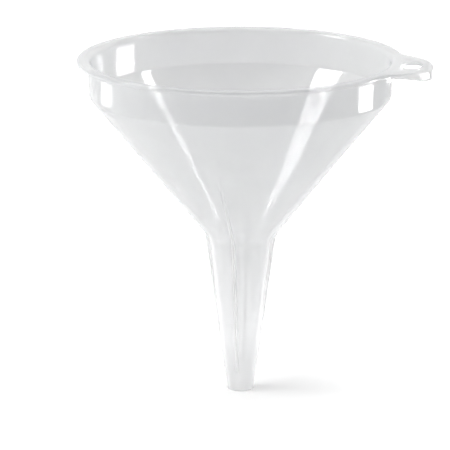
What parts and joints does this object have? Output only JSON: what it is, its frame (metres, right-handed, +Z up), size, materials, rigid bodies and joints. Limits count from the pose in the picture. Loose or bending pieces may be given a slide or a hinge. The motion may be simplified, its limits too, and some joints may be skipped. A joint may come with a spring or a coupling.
{
  "type": "kitchen funnel",
  "caption": "Translucent plastic funnel: a wide conical bowl with a short collar and lip, a long tapered stem with outside vent ribs, and a slotted hanging tab.",
  "frame": {"origin": "centre of the outlet's end face, at the bottom of the stem", "axes": "+Z up along the funnel's axis to the mouth; +X through the middle of the hanging tab; +Y to the left when looking from the tab's side along +X"},
  "size_m": [0.1754, 0.16, 0.168],
  "materials": {
    "funnel_plastic": "natural translucent polypropylene, smooth and softly glossy"
  },
  "bodies": {
    "root": {"rim_lip": "funnel_plastic", "hang_tab": "funnel_plastic", "collar": "funnel_plastic", "cone": "funnel_plastic", "neck": "funnel_plastic", "stem": "funnel_plastic", "outlet": "funnel_plastic", "vent_rib_tab_side": "funnel_plastic", "vent_rib_left": "funnel_plastic", "vent_rib_far_side": "funnel_plastic", "vent_rib_right": "funnel_plastic"}
  },
  "joints": []
}
